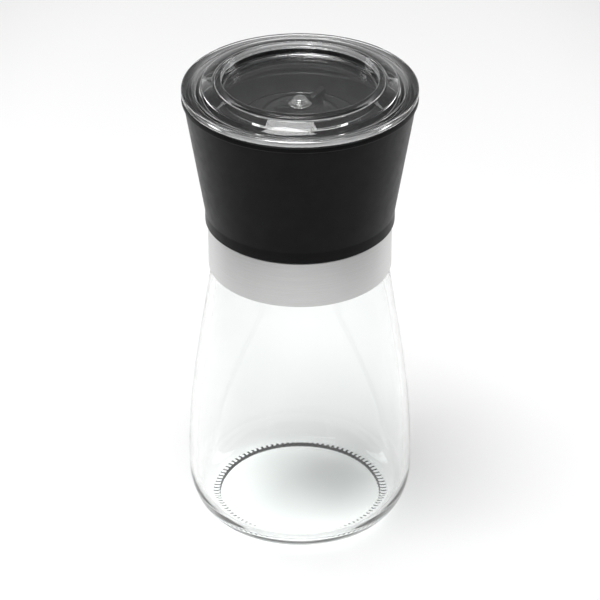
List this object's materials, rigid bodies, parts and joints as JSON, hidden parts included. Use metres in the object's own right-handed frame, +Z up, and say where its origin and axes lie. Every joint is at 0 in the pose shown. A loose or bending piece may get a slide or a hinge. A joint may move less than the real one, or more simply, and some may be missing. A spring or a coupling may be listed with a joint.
{
  "type": "pepper mill",
  "caption": "Hand-turned pepper mill: clear glass jar, steel-banded screw collar, flared black grinding cup with ceramic burrs and a fluted adjuster, and a clear dust lid.",
  "frame": {"origin": "centre of the jar's foot, on the surface that the mill stands on", "axes": "+Z up along the mill's axis; -Y is the front, as the mill is usually seen"},
  "size_m": [0.076, 0.076, 0.1602],
  "materials": {
    "clear_glass": "clear polished glass",
    "clear_plastic": "clear gloss plastic",
    "clear_silicone": "frosted silicone",
    "matt_black": "fine matt moulding",
    "gloss_black": "polished moulding",
    "brushed_band": "satin brushed round the band",
    "bright_steel": "bright",
    "white_ceramic": "smooth white ceramic",
    "pale_nylon": "natural nylon"
  },
  "bodies": {
    "jar": {"glass_jar": "clear_glass"},
    "seal": {"neck_seal": "clear_silicone"},
    "collar": {"threaded_collar": "matt_black", "steel_band": "brushed_band", "shaft_bridge": "pale_nylon", "grinder_shaft": "bright_steel", "shaft_clip": "bright_steel", "burr_spring": "bright_steel", "hopper_funnel": "matt_black", "glide_ring": "pale_nylon", "snap_ring": "bright_steel", "star_washer": "bright_steel", "end_cap": "bright_steel"},
    "inner_burr": {"inner_burr": "white_ceramic", "burr_driver": "pale_nylon", "thrust_washer": "bright_steel"},
    "knob": {"adjuster_knob": "gloss_black"},
    "cup": {"grip_cup": "matt_black", "burr_carrier": "gloss_black", "outer_burr": "white_ceramic", "burr_retainer": "gloss_black"},
    "lid": {"dust_lid": "clear_plastic"}
  },
  "joints": [
    {"name": "head_rise", "type": "slide", "parent": "jar", "child": "seal", "axis": [0, 0, 1], "range_m": [0, 0.0225]},
    {"name": "head_unscrew", "type": "hinge", "parent": "seal", "child": "collar", "pos_m": [0, 0, 0.1], "axis": [0, 0, 1], "range_deg": [0, 1800]},
    {"name": "grind_turn", "type": "hinge", "parent": "collar", "child": "cup", "pos_m": [0, 0, 0.12], "axis": [0, 0, 1], "continuous": true},
    {"name": "burr_gap", "type": "slide", "parent": "collar", "child": "inner_burr", "axis": [0, 0, 1], "range_m": [-0.0007, 0], "deforming": ["burr_spring"]},
    {"name": "grind_adjust", "type": "hinge", "parent": "inner_burr", "child": "knob", "pos_m": [0, 0, 0.145], "axis": [0, 0, 1], "range_deg": [-360, 0]},
    {"name": "lid_lift", "type": "slide", "parent": "cup", "child": "lid", "axis": [0, 0, 1], "range_m": [0, 0.032]}
  ],
  "couplings": [
    {"joint": "head_rise", "follows": "head_unscrew", "m_per_rad": 0.00071619},
    {"joint": "burr_gap", "follows": "grind_adjust", "m_per_rad": 0.0001114}
  ]
}
